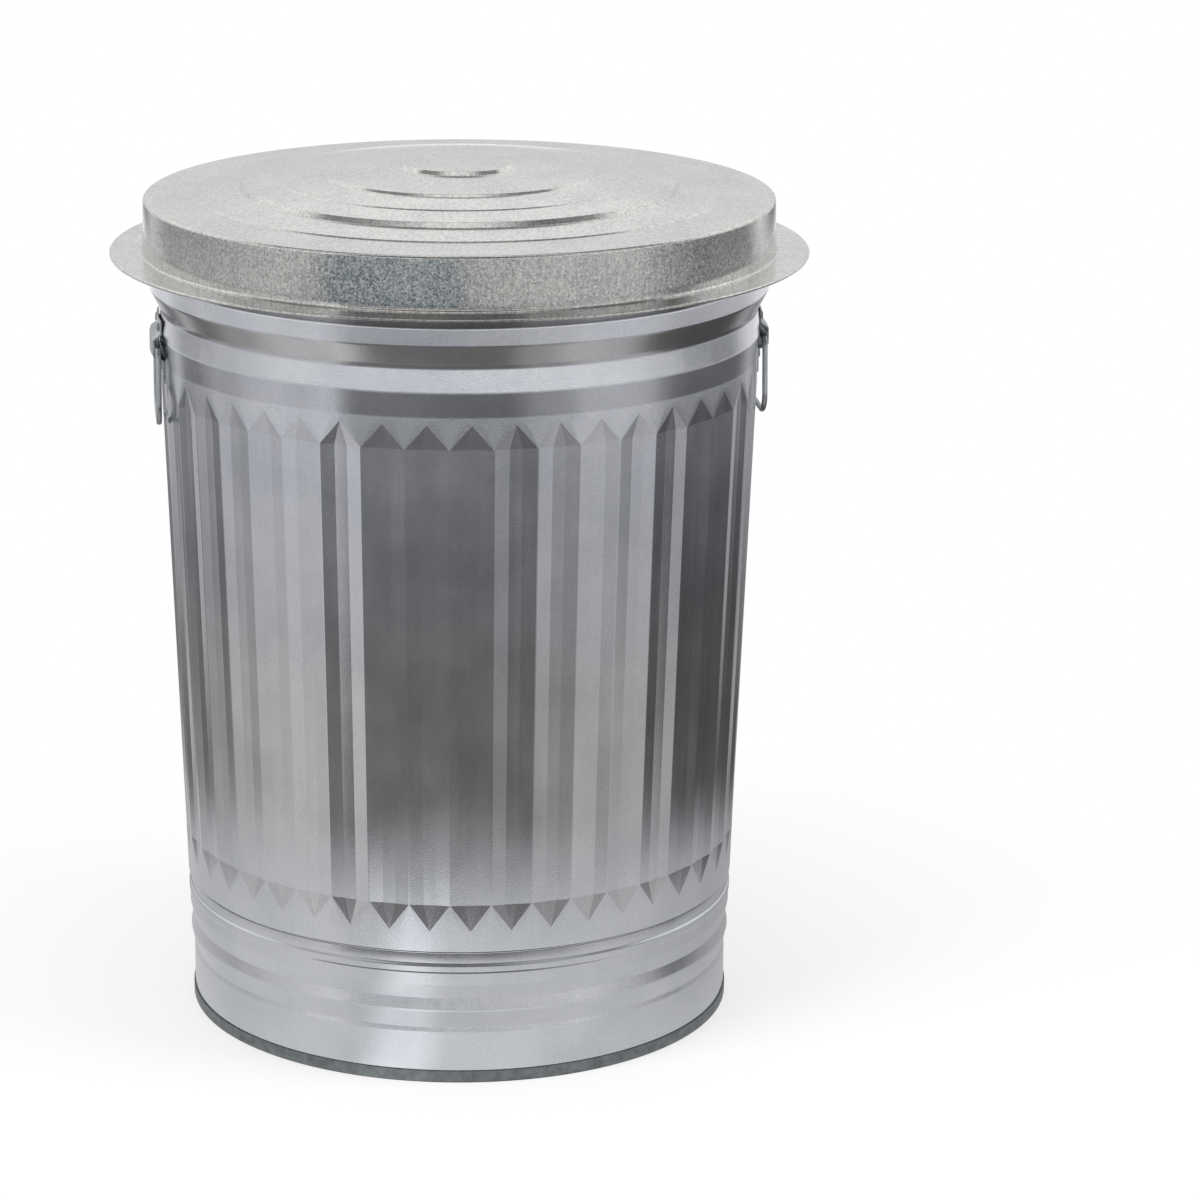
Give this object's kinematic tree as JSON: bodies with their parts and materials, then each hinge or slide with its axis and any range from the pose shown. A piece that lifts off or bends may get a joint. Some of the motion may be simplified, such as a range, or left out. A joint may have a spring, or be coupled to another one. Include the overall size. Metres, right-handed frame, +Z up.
{
  "type": "galvanised trash can with lid",
  "caption": "Tapered fluted galvanised steel trash can with a swaged hoop at its base, a flat-brimmed lift-off lid with a stepped dome, and wire drop handles in riveted plates.",
  "frame": {"origin": "on the can's axis, on the ground under it", "axes": "+Z up along the can's axis, the two drop handles at +X and -X, the pictured side faces -Y"},
  "size_m": [0.585, 0.585, 0.7297],
  "materials": {
    "wall_sheet": "smooth hot-dip galvanised sheet, fine satin",
    "hoop_sheet": "galvanised sheet, satin",
    "lid_sheet": "galvanised sheet with fine spangle",
    "bottom_sheet": "dull galvanised sheet",
    "plate_steel": "galvanised pressed steel",
    "rivet_steel": "zinc plated steel",
    "steel_wire": "bright galvanised wire"
  },
  "bodies": {
    "can": {"body_shell": "wall_sheet", "rim_wire": "steel_wire", "base_hoop": "hoop_sheet", "bottom_pan": "bottom_sheet", "handle_plate_right": "plate_steel", "handle_plate_left": "plate_steel", "plate_rivets_right": "rivet_steel", "plate_rivets_left": "rivet_steel"},
    "lid": {"lid_shell": "lid_sheet"},
    "drop_handle_right": {"bail_right": "steel_wire"},
    "drop_handle_left": {"bail_left": "steel_wire"}
  },
  "joints": [
    {"name": "lid_lift", "type": "slide", "parent": "can", "child": "lid", "axis": [0, 0, 1], "range_m": [0, 0.3]},
    {"name": "handle_swing_right", "type": "hinge", "parent": "can", "child": "drop_handle_right", "pos_m": [0.2544, 0, 0.58245], "axis": [0, -1, 0], "range_deg": [0, 150]},
    {"name": "handle_swing_left", "type": "hinge", "parent": "can", "child": "drop_handle_left", "pos_m": [-0.2544, 0, 0.58245], "axis": [0, 1, 0], "range_deg": [0, 150]}
  ]
}
